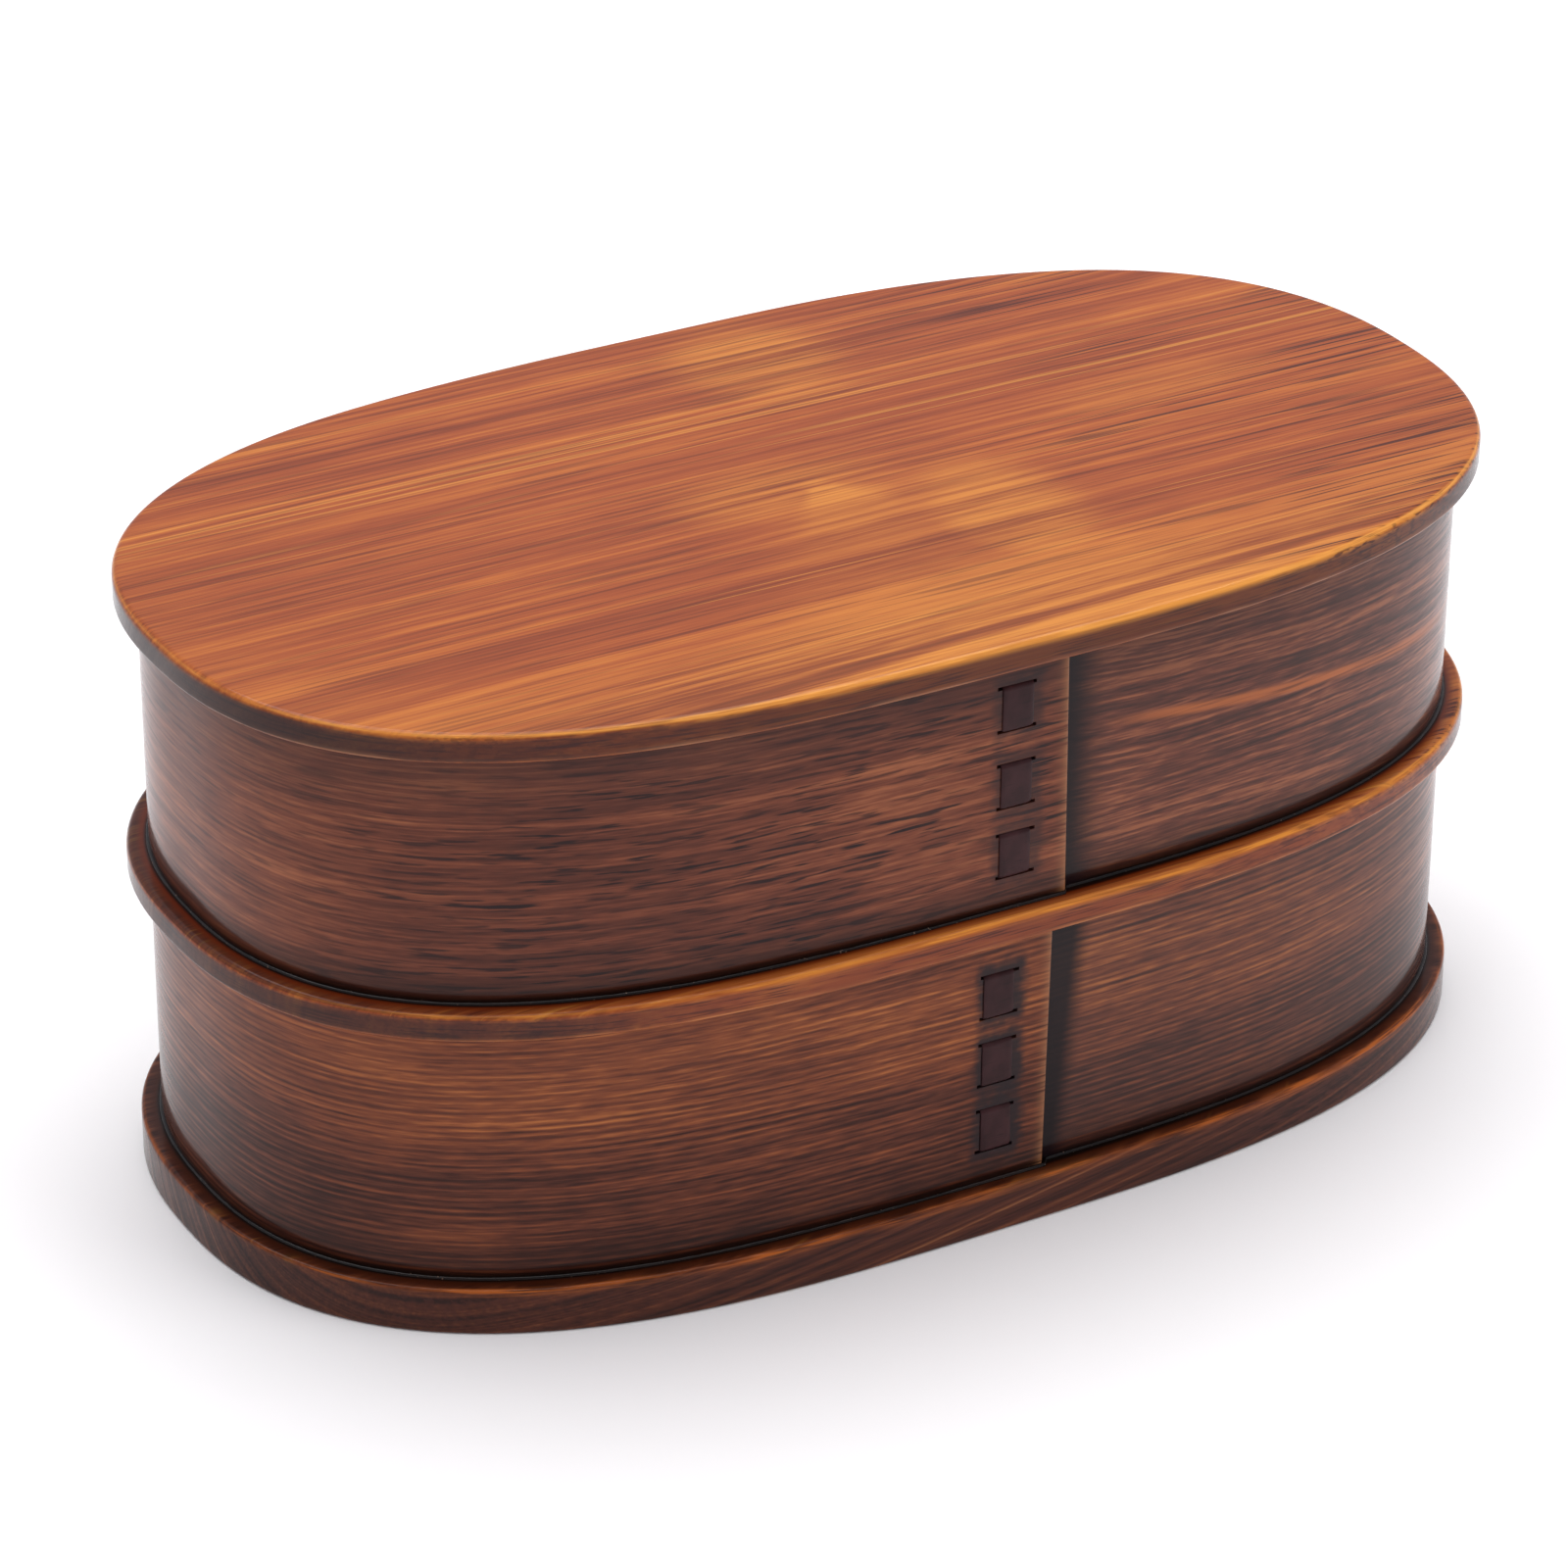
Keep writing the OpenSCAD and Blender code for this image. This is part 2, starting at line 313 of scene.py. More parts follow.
def stripWood(look):
    # Cedar strip, steamed, bent and stained dark under satin lacquer: fine lines along the strip,
    # short dark flecks, worn light at its end with a painted highlight, inky where lacquer gathers
    # beside the lap and round the stitches, with painted shade beside the lap's step, a painted grey
    # sheen past the lap, and painted shade at its foot
    material, tree, shader = startMaterial(look["name"])
    seed = look["seed"]
    grain = addNode(tree, "UVMap", (), uv_map="grain")
    along = addNode(tree, "SeparateXYZ", (grain,), "X")
    height = addNode(tree, "SeparateXYZ", (grain,), "Y")
    shade, inside, lapWear, past, stitchStain = (
        addNode(tree, "Attribute", (), "Fac", attribute_name=name)
        for name in ("shade", "inside", "lapWear", "pastEnd", "stitchStain"))
    # the grain sways along the strip, and more and leaning just past the lap
    sway = shareOf(tree, [(past, 0, look["swayReach"] * mm, look["swayMost"] * mm, look["sway"] * mm)])
    near = addNode(tree, "Math", (past, look["leanReach"] * mm), operation="MINIMUM")
    lean = addNode(tree, "Math", (near, look["lean"]), operation="MULTIPLY")
    bow = figure(tree, grain, look["bowSize"], seed)
    bow = addNode(tree, "Math", (bow, sway, lean), operation="MULTIPLY_ADD")
    coords = addNode(tree, "CombineXYZ", {1: bow})
    coords = addNode(tree, "VectorMath", (grain, coords), operation="ADD")
    line = figure(tree, coords, look["line"], seed + 1)
    streak = figure(tree, coords, look["streak"], seed + 2)
    band = figure(tree, coords, look["band"], seed + 3)
    cloud = figure(tree, grain, look["cloud"], seed + 4)
    fibre = figure(tree, grain, look["fibre"], seed + 5)
    fleck = figure(tree, coords, look["fleck"], seed + 6)
    # ribs are the even rings of a straight log, seen as a wave up the strip
    ribHeight = addNode(tree, "Math", (band, look["ribSway"] * mm, height), operation="MULTIPLY_ADD")
    ribHeight = addNode(tree, "Math", (ribHeight, bow), operation="ADD")
    ribTurn = addNode(tree, "Math", (ribHeight, 2 * math.pi / (look["rib"] * mm)), operation="MULTIPLY")
    rib = addNode(tree, "Math", (ribTurn,), operation="SINE")
    swing = blendTones(tree, 0.0, (
        (line, look["lineShare"]), (streak, look["streakShare"]), (band, look["bandShare"]),
        (fibre, look["fibreShare"])))
    swing = addNode(tree, "Math", (rib, look["ribShare"] / 2, swing), operation="MULTIPLY_ADD")
    # the figure is lively on either side of the lap and calm elsewhere
    fromLap, toCalm = look["rightFade"]
    fromCalm, toLap = look["leftFade"]
    right = shareOf(tree, [(along, fromLap * mm, toCalm * mm, look["rightLively"], look["calm"])])
    left = shareOf(tree, [(along, girth - fromCalm * mm, girth + toLap * mm, look["calm"], 1)])
    lively = addNode(tree, "Math", (right, left), operation="MAXIMUM")
    tone = shareOf(tree, [
        (height, look["riseFrom"] * mm, look["riseTo"] * mm, look["riseLeast"], look["riseMost"])])
    tone = addNode(tree, "Math", (tone, shade), operation="ADD")
    tone = blendTones(tree, tone, [(cloud, look["cloudShare"])])
    tone = addNode(tree, "Math", (swing, lively, tone), operation="MULTIPLY_ADD")
    colour = addNode(tree, "ValToRGB", (tone,), stops=look["ramp"])
    # the sash is one pale streak past the lap
    sash = addNode(tree, "Math", (height, lean), operation="ADD")
    sash = addNode(tree, "Math", (sash, look["sashHeight"] * mm), operation="SUBTRACT")
    sash = addNode(tree, "Math", (sash,), operation="ABSOLUTE")
    sashStart, sashFull, sashFade, sashStop = (v * mm for v in look["sashSpan"])
    # the ink and painted shade narrow downwards, and their far edge is ragged
    inkAndShadePast = addNode(tree, "Math", (streak, -look["inkRagged"] * mm, past), operation="MULTIPLY_ADD")
    inkAndShadePast = addNode(tree, "Math", (height, -look["inkTaper"], inkAndShadePast), operation="MULTIPLY_ADD")
    halo = figure(tree, grain, look["halo"], seed + 7)
    halo = blendTones(tree, stitchStain, [(halo, look["haloShare"])])
    colour = paint(tree, colour, (
        (look["fleckColour"], [
            (fleck, look["fleckFrom"], look["fleckTo"], 0, look["fleckShare"]),
            (cloud, *look["fleckCloud"], 1, look["fleckThin"]),
            (past, girth - look["fleckReach"] * mm, girth - look["fleckFull"] * mm,
             look["fleckLeast"], 1)]),
        # painted sheen: greyer past the lap
        (look["sheenGreyColour"], [(past, look["sheenGreyFrom"] * mm, look["sheenGreyTo"] * mm, look["sheenGreyShare"], 0)]),
        (look["sashColour"], [
            (sash, look["sashCore"] * mm, look["sashReach"] * mm, look["sash"], 0),
            (past, sashStart, sashFull, 0, 1), (past, sashFade, sashStop, 1, 0),
            (streak, *look["sashEase"], look["sashLeast"], 1)]),
        (look["topColour"], [(height, look["topFrom"] * mm, look["topTo"] * mm, 0, look["topShare"])]),
        # painted shade at the foot and in the crack
        (look["footShadeColour"], [
            (height, look["footFrom"] * mm, look["footReach"] * mm, look["footShare"], 0)]),
        (look["crackShadeColour"], [
            (height, look["crackFrom"] * mm, look["crackTo"] * mm, look["crackShare"], 0),
            (inside, 0, 1, 1, 0)]),
        # rubbed end, partly a painted highlight
        (look["wornAndHighlightColour"], [
            (lapWear, 0, 1, 0, look["wearAndHighlight"]), (streak, *look["wearEase"], look["wearLeast"], 1)]),
        (look["stainColour"], [(halo, *look["haloEase"], 0, look["stain"])]),
        # ink of gathered lacquer, and painted shade beside the step
        (look["inkAndShadeColour"], [
            (inkAndShadePast, look["inkFrom"] * mm, look["inkTo"] * mm, look["inkAndShade"], 0), (inside, 0, 1, 1, 0)])))
    finishWood(tree, shader, colour, tone)
    return material


barkLook = {
    "seed": 2, "tones": ((0.36, "#2c1719"), (0.64, "#381f21")), "cloud": (3.5, 2.5, 1),
    "poreColour": "#1f1214", "poreShare": 0.6, "poreEase": (0.6, 0.72), "pore": (0.35, 2.2, 1),
    "bumpDepth": 0.04 * mm, "bumpStrength": 0.3, "rough": 0.42, "ior": 1.25,
}


def cherryBark(look):
    # Cherry bark, shaved thin and polished: dark purple-brown with fine cross lines and a dull sheen
    material, tree, shader = startMaterial("polished cherry bark")
    grain = addNode(tree, "UVMap", (), uv_map="grain")
    cloud = figure(tree, grain, look["cloud"], look["seed"])
    pore = figure(tree, grain, look["pore"], look["seed"] + 3)
    colour = addNode(tree, "ValToRGB", (cloud,), stops=look["tones"])
    colour = paint(tree, colour, [(look["poreColour"], [(pore, *look["poreEase"], 0, look["poreShare"])])])
    finishPlain(tree, shader, colour, pore, look)
    return material


puttyLook = {
    "seed": 4, "tones": ((0.36, "#080403"), (0.64, "#160a06")), "cloud": (9, 9, 3),
    # pale specks, painted highlights
    "glintSpeckColour": "#6a5446", "glintSpeckShare": 0.7, "glintSpeckEase": (0.68, 0.74), "glintSpeck": (0.5, 0.5, 0.5),
    "grit": (1.1, 1.1, 1.1), "bumpDepth": 0.08 * mm, "bumpStrength": 0.5, "rough": 0.24, "ior": 1.4,
}


def lacquerPutty(look):
    # Lacquer putty, pressed into the corner with a fingertip: near black and uneven, with a thin
    # glint, and pale specks that are painted highlights (drawn coarse, because real ones would not show)
    material, tree, shader = startMaterial("black lacquer putty")
    coords = addNode(tree, "TexCoord", (), "Object")
    cloud = figure(tree, coords, look["cloud"], look["seed"])
    grit = figure(tree, coords, look["grit"], look["seed"] + 2)
    glintSpeck = figure(tree, coords, look["glintSpeck"], look["seed"] + 4)
    colour = addNode(tree, "ValToRGB", (cloud,), stops=look["tones"])
    # pale specks are painted highlights
    colour = paint(tree, colour, [(look["glintSpeckColour"], [(glintSpeck, *look["glintSpeckEase"], 0, look["glintSpeckShare"])])])
    finishPlain(tree, shader, colour, grit, look)
    return material


# Boards: the lid's plate and the two floors
boardShape = {
    "steps": 560,  # points round the oval
    "roundSteps": 9,
    "sideRows": 6,
    "topShares": np.linspace(0.04, 0.96, 18),
    "underShares": np.linspace(0.95, 0.05, 4),
    "nearEdge": np.array((2.7, 2.0, 1.3, 0.7, 0.2)) * mm,  # in from the rounding
    "uneven": 0.14,  # of the upper radius, as a hand sands it
    "unevenCounts": (2, 5, 11),
    "wearThin": 0.4,  # of the rub's width, left where there is least wear
    "lowReach": 0.4 * mm,
    "sideStart": 0.35,  # of the upper radius, down the edge
    "endGain": 1.6,  # how soon the side turns to end grain round the oval
    "endStart": 0.5,
    "slatePower": 3,  # only the deepest of a dark streak reaches the ledge's top
    "ledgeDrop": 0.5,  # of the rounding, still counted as the ledge's top
    "glowReach": 16 * mm,
    "noHoop": 9 * mm,  # stands for far from a hoop's foot
}


def boardGrid(board):
    # rings of the oval, from the middle of the top out, round the edge by quarter circles and back in
    # underneath
    shape = boardShape
    low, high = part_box(board["node"])
    edge = high.x - oval["halfLength"]
    along = np.linspace(0, girth, shape["steps"], endpoint=False)
    topRound = board["topRound"] * mm
    underRound = board["underRound"] * mm
    waves = unevenness(along, shape["unevenCounts"], board["look"]["seed"])
    upper = topRound * (1 + shape["uneven"] * waves)
    turn = np.linspace(0, math.pi / 2, shape["roundSteps"])
    near = shape["nearEdge"]
    # each ring: share of the oval, inset as a share of either radius and plain, drop, lift, and
    # how far down the side it is
    rings = [(share, 1, 0, near[0], 0, 0, 0) for share in shape["topShares"]]
    rings += [(1, 1, 0, inset, 0, 0, 0) for inset in near]
    rings += [(1, 1 - math.sin(t), 0, 0, 1 - math.cos(t), 0, 0) for t in turn]
    rings += [(1, 0, 0, 0, 1, 1, level) for level in np.linspace(0, 1, shape["sideRows"])[1:-1]]
    rings += [(1, 0, 1 - math.cos(t), 0, 0, 1 - math.sin(t), 1) for t in turn]
    rings += [(1, 0, 1, inset, 0, 0, 1) for inset in near[::-1]]
    rings += [(share, 0, 1, near[0], 0, 0, 1) for share in shape["underShares"]]
    share, byTop, byUnder, plain, drop, lift, level = np.array(rings).T[:, :, None]
    out = edge - plain - byTop * upper - byUnder * underRound
    z = (1 - level) * (high.z - drop * upper) + level * (low.z + lift * underRound)
    x, y = onOval(along, out)
    x, y = share * x, share * y
    # marks for the finish: rubbed edges with a painted highlight, the side, its end grain and dark
    # streak, a golden glow of rubbing with patches of painted sheen, and the way from the hoop's foot,
    # which carries painted shade
    # rubbing along the oval, which also sets where the painted highlight on the edge is strongest
    wearAndHighlight = np.interp(along / mm, *zip(*board["wearAndHighlightAt"]), period=girth / mm)
    middle = 1 - math.sqrt(0.5)  # of a quarter circle, in shares of its radius
    offTop = np.hypot(edge - middle * upper - out, high.z - middle * upper - z)
    offLow = np.hypot(edge - middle * underRound - out, low.z + middle * underRound - z)
    reach = board["arrisReach"] * mm * (shape["wearThin"] + (1 - shape["wearThin"]) * wearAndHighlight)
    down = (high.z - z) / upper - shape["sideStart"]
    side = np.clip(down, 0, 1) * np.clip((z - low.z) / underRound, 0, 1)
    facing = np.abs(onOval(along, mm)[0] - onOval(along, 0)[0]) / mm
    endOn = np.clip(facing * shape["endGain"] - shape["endStart"], 0, 1)
    slate = np.interp(along / mm, *zip(*board["slateAt"]), period=girth / mm)
    lateSlate = slate ** shape["slatePower"]
    inward = edge - out + (1 - share) * np.hypot(x, y)
    # rubbing near the front edge; the spots below are painted sheen
    glow = board["glow"] * wearAndHighlight ** 2 * np.exp(-(inward / shape["glowReach"]) ** 2)
    for spotX, spotY, reachX, reachY, most in board["spots"]:
        away = ((x / mm - spotX) / reachX) ** 2 + ((y / mm - spotY) / reachY) ** 2
        glow = np.maximum(glow, most * np.exp(-away ** 2))
    onLedge = (drop < shape["ledgeDrop"]) & (level == 0) & (share == 1) & board["hasHoop"]
    # the edge's own coordinates: a circle of the oval's girth, and the way over the section
    turned = 2 * math.pi * along / girth
    wayOut, wayDown = (np.diff(values[:, :1], axis=0, prepend=0) for values in (out, z))
    way = np.cumsum(np.hypot(wayOut, wayDown))
    marks = {
        "arris": wearAndHighlight * np.exp(-(offTop / reach) ** 2) * (share == 1),
        "lowArris": np.exp(-(offLow / shape["lowReach"]) ** 2) * (share == 1) * (1 - lateSlate),
        "side": side,
        "endGrain": np.maximum(side * np.maximum(endOn, slate), lateSlate * onLedge),
        "glow": glow * (level == 0),
        "fromHoop": np.where(onLedge, np.maximum(out, 0), shape["noHoop"]),
        "edgeX": girth / (2 * math.pi) * np.cos(turned),
        "edgeY": girth / (2 * math.pi) * np.sin(turned),
        "edgeOver": way[:, None],
    }
    return np.stack((x, y, z), -1), marks


lidLook = {
    "name": "stained cedar, lid", "seed": 4,
    # rings: their bow, the pith's place in mm, turns in degrees, and the spacing of each kind in mm
    "bow": 3.3, "bowSize": (140, 30, 30), "pithY": 70, "pithZ": -40, "skew": 0.8, "tilt": 1.0,
    "band": 5.5, "line": 1.0, "vein": 10.0, "veinWidth": 0.006, "ringsApart": 30.0,
    # figure in mm along, across and through the board, and how far each kind sways the tone
    "streak": (75, 0.6, 0.6), "fibre": (9, 0.4, 0.4), "cloud": (70, 24, 24), "tone": 0.53,
    "bandShare": 0.5, "lineShare": 0.41, "streakShare": 0.33, "fibreShare": 0.31, "cloudShare": 0.32,
    "ramp": ((0.1, "#4a211a"), (0.34, "#813c22"), (0.52, "#994b26"), (0.7, "#b2622b"), (0.93, "#c98239")),
    # golden veins and patches, a golden glow that is partly rubbing and partly painted sheen, and
    # sooty streaks, more of them to the right
    "goldShare": 0.65, "goldColour": "#d08a3c", "goldPlace": (90, 6, 6), "goldEase": (0.42, 0.6),
    "rubGlowAndSheenColour": "#cf8538", "glowEase": (0.3, 0.65), "glowLeast": 0.1,
    "sootShare": 0.95, "sootColour": "#4c251d", "soot": (40, 0.6, 0.6), "sootPlace": (50, 16, 16),
    "sootEase": (0.52, 0.62), "sootPlaceEase": (0.34, 0.58),
    "sootFrom": 20, "sootTo": 60, "sootLeast": 0.5,
    # the side, its lines, and end grain
    "sideShare": 0.78, "sideColour": "#3a1d16",
    "sideLineShare": 0.6, "sideLineColour": "#24161a", "sideLineEase": (0.5, 0.64),
    "endShare": 0.75, "endColour": "#221819",
    # rubbed edges, upper and lower, broken by figures in mm along and over the edge; the upper one is
    # partly a painted highlight
    "wearAndHighlight": 0.95, "wearLeast": 0.5, "wornAndHighlightColour": "#dd9646", "arrisEase": (0.05, 0.8),
    "chip": (14, 14, 2.0), "chipEase": (0.34, 0.58), "rub": (9, 9, 0.3), "rubEase": (0.42, 0.58),
    "lowWear": 0.85, "lowLeast": 0.25, "lowColour": "#9a684a", "lowChipEase": (0.36, 0.56),
    # pooled stain and painted shade in the corner at a hoop's foot, and painted shade in the crack,
    # in mm from it
    "cornerShare": 0.0, "cornerFrom": 0.7, "cornerTo": 2.1, "cornerStainAndShadeColour": "#6a2504",
    "crackFrom": 0.3, "crackTo": 1.0, "crackShadeColour": "#0c0402",
}
ledgeLook = {
    **lidLook, "name": "stained cedar, upper floor", "seed": 11, "pithY": -60, "pithZ": -60, "tilt": 2.0,
    "wornAndHighlightColour": "#d98a36", "wearLeast": 0.3, "lowColour": "#b87444", "lowWear": 0.9,
    "sideColour": "#5a2d21", "sideShare": 0.5, "sootShare": 0.9, "cornerShare": 0.97,
}
baseLook = {
    **lidLook, "name": "stained cedar, lower floor", "seed": 23, "pithY": 45, "pithZ": -52, "tilt": 8.0,
    "band": 1.8, "line": 0.8, "tone": 0.47, "bandShare": 0.8, "lineShare": 0.8, "goldShare": 0.2,
    "ramp": ((0.1, "#1f0f0d"), (0.34, "#351a14"), (0.52, "#4c261a"), (0.7, "#673722"), (0.93, "#8f5a36")),
    "wornAndHighlightColour": "#a85822", "wearLeast": 0.2, "lowColour": "#4e2f22", "lowWear": 0.4,
    "rubGlowAndSheenColour": "#7c4020",
    "sideColour": "#2f1a14", "sideShare": 0.15, "sideLineShare": 0.0, "endShare": 0.15,
    "cornerShare": 0.97, "cornerStainAndShadeColour": "#3c1808", "cornerFrom": 0.8, "cornerTo": 2.6,
}
boards = {
    "lidBoard": {
        "node": "lid_board", "body": "lid", "look": lidLook, "hasHoop": False, "glow": 0.95,
        "topRound": 1.0, "underRound": 0.5, "arrisReach": 0.44,  # in mm
        # dark streaks, and rubbing that is partly a painted highlight: mm along the oval from the front's
        # middle, strength
        "slateAt": ((-150, 1.0), (-100, 0.75), (-75, 0.0), (150, 0.0)),
        "wearAndHighlightAt": ((-220, 0.15), (-130, 0.45), (-70, 0.6), (-30, 1.0), (35, 1.0), (65, 0.85), (120, 0.3),
                   (200, 0.0)),
        # golden patches of painted sheen: x and y in mm, reach along either, strength
        "spots": ((13, 40, 14, 14, 0.55), (-6, 0, 18, 9, 0.45), (19, -20, 12, 18, 0.65),
                  (60, 5, 22, 7, 0.3)),
    },
    "upperBoard": {
        "node": "upper_board", "body": "upper_tier", "look": ledgeLook, "hasHoop": True, "glow": 0.4,
        "topRound": 1.0, "underRound": 0.5, "arrisReach": 0.42,
        "slateAt": ((-150, 1.0), (-95, 0.9), (-62, 0.65), (-40, 0.0), (150, 0.0)),
        "wearAndHighlightAt": ((-200, 0.3), (-140, 0.1), (-100, 0.25), (-80, 0.6), (-40, 0.9), (60, 1.0), (110, 0.8),
                   (150, 0.6)),
        "spots": (),
    },
    "lowerBoard": {
        "node": "lower_board", "body": "lower_tier", "look": baseLook, "hasHoop": True, "glow": 0.5,
        "topRound": 0.6, "underRound": 0.5, "arrisReach": 0.65,
        "slateAt": ((0, 0.0),),
        "wearAndHighlightAt": ((-200, 0.4), (-110, 0.5), (-70, 0.8), (0, 0.85), (60, 1.0), (120, 0.8)),
        "spots": (),
    },
}
for name, board in boards.items():
    points, marks = boardGrid(board)
    wood = boardWood(board["look"])
    makePiece(name, points, False, board["body"], board["node"], wood, marks=marks)

# Hoops and rims: bent strips whose ends overlap
stripShape = {
    "rowStep": 1.3 * mm,
    "lapStep": 0.5 * mm,  # finer near the stitches
    "beforeEnd": 14 * mm,  # how far the finer rows reach
    "pastEnd": 8 * mm,
    "columnStep": 1.5 * mm,
    "roundSteps": 5,
    "crisp": 0.02 * mm,  # half the width of a slit's steep edge
    "glueLine": 0.02 * mm,
    "stainReach": 2.0 * mm,
    "stainShift": 0.35 * mm,  # the stain ran to the right and up
    "wearReach": 1.0 * mm,
    "slantReach": 60 * mm,
    "cornerHigh": 5 * mm,
    "bevelMost": 0.4,  # of the thickness, where an end is thin
    "endSlack": 0.2 * mm,  # rows this near the outer end count as past it
}
hoopShape = {
    "face": 0.0,  # out from the oval
    "thick": 2.4 * mm,
    "lap": 40 * mm,
    "rise": 0.6 * mm,  # the outer end, out from the face
    "sink": 0.6 * mm,  # the wall under that end, in from the face
    "feather": 0.3 * mm,  # the inner end, in from the wall's inside
    "edgeRound": 0.35 * mm,
    "endRound": 0.35 * mm,
    "cornerLift": 1.5 * mm,  # the outer end's foot, a little raised
    "cornerReach": 2.2 * mm,
}
rimShape = {
    "face": -3.2 * mm, "thick": 1.8 * mm, "lap": 18 * mm,
    "rise": 0.0, "sink": 0.0, "feather": 0.1 * mm,
    "edgeRound": 0.45 * mm, "endRound": 0.1 * mm, "cornerLift": 0.0, "cornerReach": 1.0 * mm,
}
barkShape = {
    "width": 4.8 * mm, "thick": 0.4 * mm, "stitch": 6.9 * mm, "bend": 0.5 * mm,
    "back": 8.2 * mm,  # from the outer end to the band's middle
    "lift": -0.14 * mm,  # off the wall, so below 0 it is bedded in
    "slitWide": 6.0 * mm, "slitHigh": 0.48 * mm, "slitDeep": 1.2 * mm,
    "thinEdge": 0.5,  # of the thickness
    "widePower": 0.25, "deepPower": 0.5,  # below 1 they square the section
    "bendSteps": 7, "bandSteps": 28,
}


def bentStrip(shape, endX, floorZ, low, high, slant, stitchFeet, spots):
    # A rectangle with rounded corners is carried along the oval from the strip's inner end, once round
    # and over itself to its outer end. Its faces lie in or out along the oval's normal, and both ends
    # thin to share the lap
    fine = stripShape
    lap = shape["lap"]
    total = girth + lap
    crispEdges = np.array((-1, 1)) * fine["crisp"]
    turn = np.linspace(0, math.pi / 2, fine["roundSteps"])
    stitchAt = total - barkShape["back"]
    slitSides = np.add.outer(np.array((-0.5, 0.5)) * barkShape["slitWide"], crispEdges).ravel()
    lines = [np.arange(0, total, fine["rowStep"]), total - shape["endRound"] * (1 - np.sin(turn))]
    if len(stitchFeet):
        lines.append(np.arange(total - fine["beforeEnd"], total - shape["endRound"], fine["lapStep"]))
        lines.append(np.arange(lap, lap + fine["pastEnd"], fine["lapStep"]))
        lines += [stitchAt + slitSides, lap - barkShape["back"] + slitSides]
    rows = np.unique(np.concatenate(lines))[:, None]
    past = rows - lap  # length past the outer end, which lies at 0 and again at girth
    outer = np.interp(past, (-lap, 0, lap, girth - lap, girth),
                      (-shape["thick"], -shape["sink"], 0, 0, shape["rise"]))
    outer = outer - fine["glueLine"] * (past < 0)
    inner = np.interp(past, (-lap, 0, girth - lap, girth),
                      (-shape["thick"] - shape["feather"], -shape["thick"], -shape["thick"],
                       -shape["sink"]))
    inner = inner + fine["glueLine"] * (past > girth - lap)
    bevel = np.minimum(shape["edgeRound"], fine["bevelMost"] * (outer - inner))
    ending = np.clip((rows - total) / shape["endRound"] + 1, 0, 1)
    outer = outer - shape["endRound"] * (1 - np.sqrt(1 - ending ** 2))
    # the section: heights up the outer face, over the top, down the inner face and under
    slitPlaces = (0.5 * barkShape["thick"], barkShape["stitch"] - 0.5 * barkShape["thick"])
    slits = np.add.outer(np.array(stitchFeet), np.array(slitPlaces)).ravel()
    slitEdges = np.add.outer(np.array((-0.5, 0.5)) * barkShape["slitHigh"], crispEdges).ravel()
    slitLines = np.add.outer(slits, slitEdges).ravel()
    count = int((high - low) / fine["columnStep"])
    plainZ = np.linspace(low + shape["edgeRound"], high - shape["edgeRound"], count)
    faceZ = np.unique(np.concatenate((plainZ, slitLines)))
    plain = np.zeros(len(faceZ))
    arc = np.zeros(len(turn))
    side = np.concatenate((arc, plain, arc, arc + 1, plain + 1, arc + 1))
    outside = side == 0
    toFace = 1 - np.sin(turn)
    fromFace = 1 - np.cos(turn)
    inset = np.concatenate((toFace, plain, fromFace, toFace, plain, fromFace))
    base = np.concatenate((arc + low, faceZ, arc + high, arc + high, faceZ[::-1], arc + low))
    lift = np.concatenate((fromFace, plain, -toFace, -fromFace, plain, toFace))
    z = base + lift * bevel
    out = np.where(outside, outer - inset * bevel, inner + inset * bevel)
    if len(slits):
        inSlit = np.abs(np.subtract.outer(base, slits)).min(-1) < 0.5 * barkShape["slitHigh"]
        outSlit = np.abs(rows - stitchAt) < 0.5 * barkShape["slitWide"]
        backSlit = np.abs(rows - lap + barkShape["back"]) < 0.5 * barkShape["slitWide"]
        dent = barkShape["slitDeep"] * (inSlit & (inset == 0))
        out = out - dent * outSlit * outside + dent * backSlit * ~outside
    nearEnd = np.clip(1 - (total - rows) / shape["cornerReach"], 0, 1)
    nearFoot = np.clip(1 - (z - low) / fine["cornerHigh"], 0, 1)
    z = z + shape["cornerLift"] * nearEnd ** 2 * nearFoot
    lean = slant * ((z - floorZ) / (high - floorZ) - 0.5)
    along = rows + lean * np.clip(1 - (total - rows) / fine["slantReach"], 0, 1)
    x, y = onOval(endX + along - lap, shape["face"] + out)
    uv = np.stack((along, z - floorZ), -1)
    # marks for the finish: uneven stain, the inside, the rubbed end, the way past it, and stain round
    # the stitches
    stain = np.zeros_like(z)
    if len(stitchFeet):
        middles = np.array(stitchFeet) + 0.5 * barkShape["stitch"]
        above = np.abs(np.subtract.outer(z - fine["stainShift"], middles)).min(-1)
        above = np.maximum(above - 0.5 * barkShape["stitch"], 0)
        beside = np.maximum(np.abs(rows - stitchAt - fine["stainShift"]) - 0.5 * barkShape["width"], 0)
        stain = np.exp(-(above ** 2 + beside ** 2) / fine["stainReach"] ** 2) * outside
    fromFront = ((endX + past + girth / 2) % girth - girth / 2) / mm
    shade = np.zeros_like(z)
    for spotAlong, spotZ, reachAlong, reachZ, swing in spots:
        away = ((fromFront - spotAlong) / reachAlong) ** 2
        away = away + (((z - floorZ) / mm - spotZ) / reachZ) ** 2
        shade = shade + swing * np.exp(-away)
    marks = {
        "shade": shade,
        "inside": side,
        "lapWear": np.exp(-(total - rows) / fine["wearReach"]) * outside,
        "pastEnd": np.where(past > -fine["endSlack"], past - lean, girth),
        "stitchStain": stain,
    }
    return np.stack((x, y, z), -1), uv, marks


